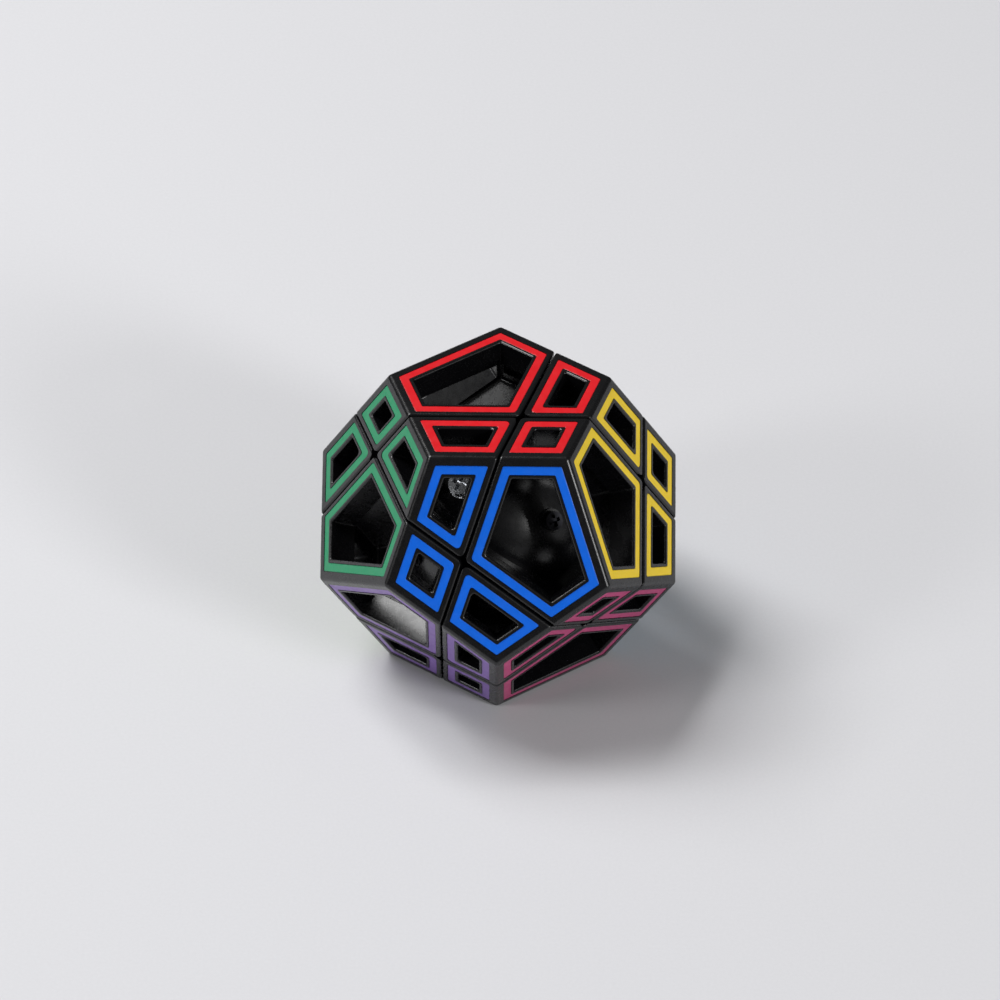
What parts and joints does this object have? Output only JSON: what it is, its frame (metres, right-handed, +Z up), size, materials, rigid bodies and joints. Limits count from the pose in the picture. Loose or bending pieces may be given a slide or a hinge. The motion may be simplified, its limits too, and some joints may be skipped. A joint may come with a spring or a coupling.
{
  "type": "dodecahedron twist puzzle",
  "caption": "Hollow dodecahedron twist puzzle: open black frames with coloured window rings, whose halves turn about a hidden spring-loaded core.",
  "frame": {"origin": "centre of the face that the puzzle stands on, at table height", "axes": "+Z up through the centre of the opposite face, which has the red rings; -Y towards the face with the blue rings"},
  "size_m": [0.0822, 0.0866, 0.07],
  "materials": {
    "black_frame": "glossy moulded black",
    "black_foot": "satin moulded black",
    "core_plastic": "satin moulded dark grey",
    "steel": "zinc-plated steel",
    "red_ring": "satin, red",
    "blue_ring": "satin, blue",
    "yellow_ring": "satin, yellow",
    "green_ring": "satin, green",
    "purple_ring": "satin, purple",
    "pink_ring": "satin, pink",
    "white_ring": "satin, white",
    "orange_ring": "satin, orange",
    "lime_ring": "satin, lime",
    "sky_ring": "satin, sky",
    "cream_ring": "satin, cream",
    "grey_ring": "satin, grey"
  },
  "bodies": {
    "base": {"core": "core_plastic", "axle_screws": "steel", "tension_springs": "steel", "washers": "steel", "base_foot_screws": "steel", "right_back_edge_frame": "black_frame", "right_back_edge_foot": "black_foot", "bottom_front_edge_frame": "black_frame", "bottom_front_edge_foot": "black_foot", "back_left_edge_frame": "black_frame", "back_left_edge_foot": "black_foot", "bottom_back_corner_frame": "black_frame", "bottom_back_corner_foot": "black_foot", "right_corner_frame": "black_frame", "right_corner_foot": "black_foot", "back_corner_frame": "black_frame", "back_corner_foot": "black_foot", "bottom_left_corner_frame": "black_frame", "bottom_left_corner_foot": "black_foot", "base_yellow_rings": "yellow_ring", "base_purple_rings": "purple_ring", "base_pink_rings": "pink_ring", "base_white_rings": "white_ring", "base_orange_rings": "orange_ring", "base_lime_rings": "lime_ring", "base_sky_rings": "sky_ring", "base_cream_rings": "cream_ring", "base_grey_rings": "grey_ring"},
    "turning_half": {"half_foot_screws": "steel", "front_right_edge_frame": "black_frame", "front_right_edge_foot": "black_foot", "top_back_edge_frame": "black_frame", "top_back_edge_foot": "black_foot", "left_front_edge_frame": "black_frame", "left_front_edge_foot": "black_foot", "top_right_corner_frame": "black_frame", "top_right_corner_foot": "black_foot", "front_corner_frame": "black_frame", "front_corner_foot": "black_foot", "left_corner_frame": "black_frame", "left_corner_foot": "black_foot", "half_red_rings": "red_ring", "half_blue_rings": "blue_ring", "half_yellow_rings": "yellow_ring", "half_green_rings": "green_ring", "half_purple_rings": "purple_ring", "half_pink_rings": "pink_ring", "half_white_rings": "white_ring", "half_orange_rings": "orange_ring", "half_lime_rings": "lime_ring"},
    "turning_corner": {"top_front_corner_frame": "black_frame", "top_front_corner_foot": "black_foot", "corner_red_rings": "red_ring", "corner_blue_rings": "blue_ring", "corner_green_rings": "green_ring"}
  },
  "joints": [
    {"name": "half_turn", "type": "hinge", "parent": "base", "child": "turning_half", "pos_m": [0, 0, 0.035], "axis": [-0.3568, -0.4911, 0.7947], "continuous": true},
    {"name": "corner_turn", "type": "hinge", "parent": "base", "child": "turning_corner", "pos_m": [0, 0, 0.035], "axis": [-0.3568, -0.4911, 0.7947], "continuous": true}
  ],
  "couplings": [
    {"joint": "corner_turn", "follows": "half_turn", "ratio": 1}
  ]
}
